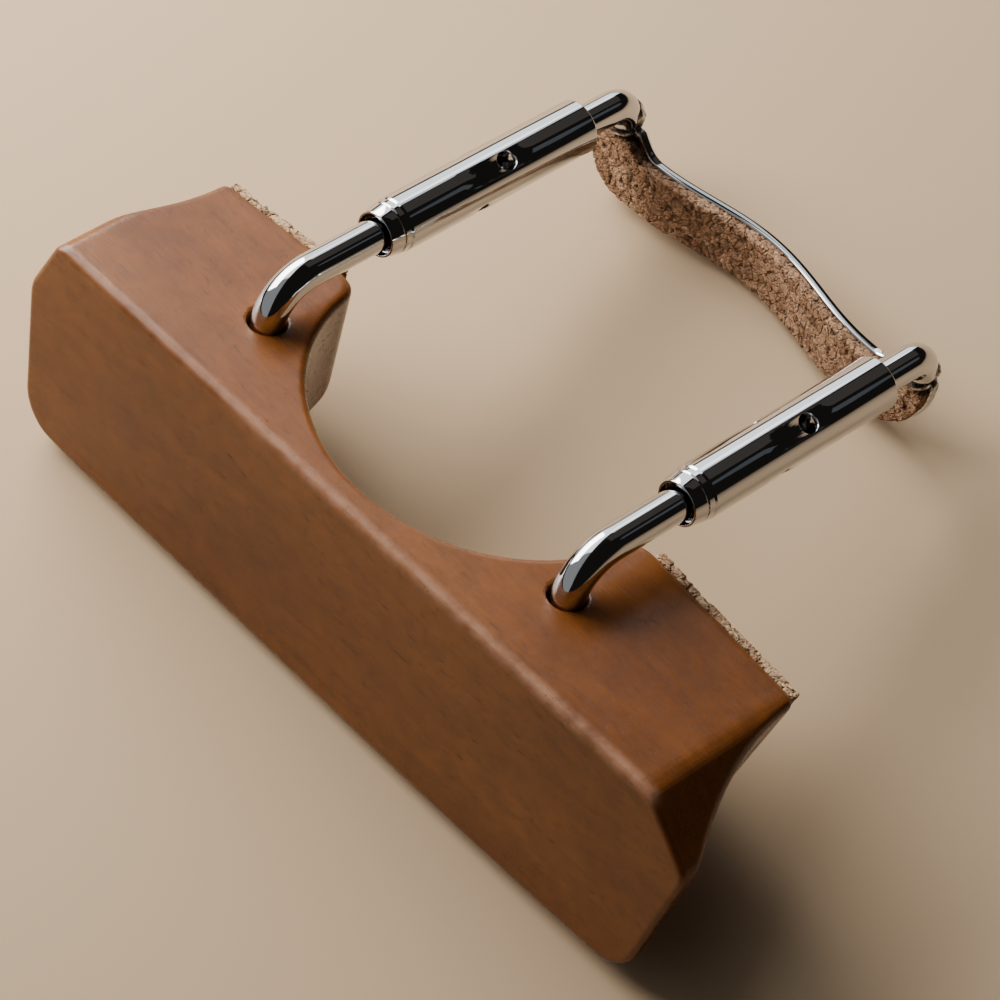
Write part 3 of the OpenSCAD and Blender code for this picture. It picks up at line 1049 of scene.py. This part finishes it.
def make_lining():
    """The cork lining of the foot plate."""
    low = (-FOOT_LENGTH / 2 - 0.4, POST_AT - 2.2, FOOT_LOW - 0.4)
    high = (FOOT_LENGTH / 2 + 0.4, POST_AT + FOOT_SETBACK + FOOT_BULGE + 0.4, EAR_HIGH)
    lining = cork_piece("cork_lining", lining_shape, low, high, 1.15, 21)
    declare(lining, "foot_cork", "foot", LINING_CORK)


make_block()
for side, word, foot_end in ((LEFT, "left", LEFT_FOOT_END), (RIGHT, "right", RIGHT_FOOT_END)):
    make_pad(side, word, foot_end)
    rod = bent_rod(word + "_leg", side, -LEG_DEPTH + 0.1, LEG_BEND, 0, LEG_ROD_END)
    declare(rod, word + "_leg_rod", "block", CHROME)
    post = bent_rod(word + "_post", side, EAR_HIGH, POST_BEND, POST_AT, POST_ROD_END)
    declare(post, word + "_foot_post", "foot", CHROME)
    declare(make_barrel(word + "_turned_barrel", side), word + "_barrel", word + "_screw", CHROME)

make_foot()
make_lining()


# ---------------------------------------------------------------- floor, light and camera

def make_floor():
    """A plain pale floor."""
    bpy.ops.mesh.primitive_plane_add(size=6, location=(0, 0, -0.00005))
    floor = bpy.context.object
    floor.name = "floor"
    n = Nodes("floor_paper")
    n.shader.inputs["Base Color"].default_value = (0.49, 0.35, 0.215, 1)
    n.shader.inputs["Roughness"].default_value = 0.9
    floor.data.materials.append(n.material)


def area_light(name, place, facing, size, power, colour):
    """A soft box at a place, shining in a direction. It lights and reflects, but is never seen itself."""
    data = bpy.data.lights.new(name, "AREA")
    data.shape = "RECTANGLE"
    data.size, data.size_y = size
    data.energy = power
    data.color = colour
    lamp = bpy.data.objects.new(name, data)
    lamp.location = place
    lamp.rotation_mode = "QUATERNION"
    lamp.rotation_quaternion = Vector(facing).to_track_quat("-Z", "Y")
    lamp.visible_camera = False
    bpy.context.scene.collection.objects.link(lamp)


def make_lights():
    """A dark room with a wall of light on its left, brighter towards the back than towards the front, a near
    key light before it and a small card at its far corner. Two dim cards on the dark side only show in the
    chrome."""
    world = bpy.data.worlds.new("studio")
    world.use_nodes = True
    world.node_tree.nodes["Background"].inputs["Color"].default_value = (1.0, 0.92, 0.84, 1)
    world.node_tree.nodes["Background"].inputs["Strength"].default_value = 0.012
    bpy.context.scene.world = world
    wall = Vector((-0.924, -0.383, 0))
    backward = Vector((-0.383, 0.924, 0))
    for name, side, power in (("sky_back", 1, 33), ("sky_front", -1, 5)):
        middle = wall * 0.3 + backward * side * 1.9 + Vector((0, 0, 0.68))
        area_light(name, middle, -wall, (3.8, 1.24), power, (0.97, 0.985, 1.0))
    key = Vector((-0.80, 0.02, 0.60))
    area_light("key", key * 0.24, -key, (0.25, 0.14), 1.45, (1.0, 0.96, 0.91))
    ceiling = Vector((-0.052, 0.741, 0.669))
    area_light("ceiling_card", ceiling, -ceiling, (0.53, 0.60), 0.055, (1.0, 0.88, 0.78))
    corner = Vector((-0.4525, 0.7384, 0.50))
    area_light("sky_corner", corner, -corner, (0.21, 0.28), 0.22, (0.97, 0.985, 1.0))
    strip = Vector((0.43, 0.78, 0.44))
    area_light("sky_strip", strip, -strip, (0.17, 0.20), 0.010, (0.78, 0.9, 1.0))


CAMERA_AZIMUTH = 50.39
CAMERA_ELEVATION = 59.48
CAMERA_ROLL = -3.84
CAMERA_LOOK_AT = Vector((0.00302, -0.01075, 0.015))
CAMERA_DISTANCE = 0.4672
CAMERA_LENS = 180.95


def make_camera():
    """The camera, at the photograph's viewing angle."""
    data = bpy.data.cameras.new("camera")
    data.lens = CAMERA_LENS
    data.sensor_width = 36
    data.clip_start = 0.01
    camera = bpy.data.objects.new("camera", data)
    a, e = math.radians(CAMERA_AZIMUTH), math.radians(CAMERA_ELEVATION)
    back = Vector((math.sin(a) * math.cos(e), -math.cos(a) * math.cos(e), math.sin(e)))
    camera.location = CAMERA_LOOK_AT + back * CAMERA_DISTANCE
    camera.rotation_mode = "QUATERNION"
    level = (-back).to_track_quat("-Z", "Y")
    camera.rotation_quaternion = level @ Matrix.Rotation(math.radians(CAMERA_ROLL), 3, "Z").to_quaternion()
    bpy.context.scene.collection.objects.link(camera)
    bpy.context.scene.camera = camera


make_floor()
make_lights()
make_camera()
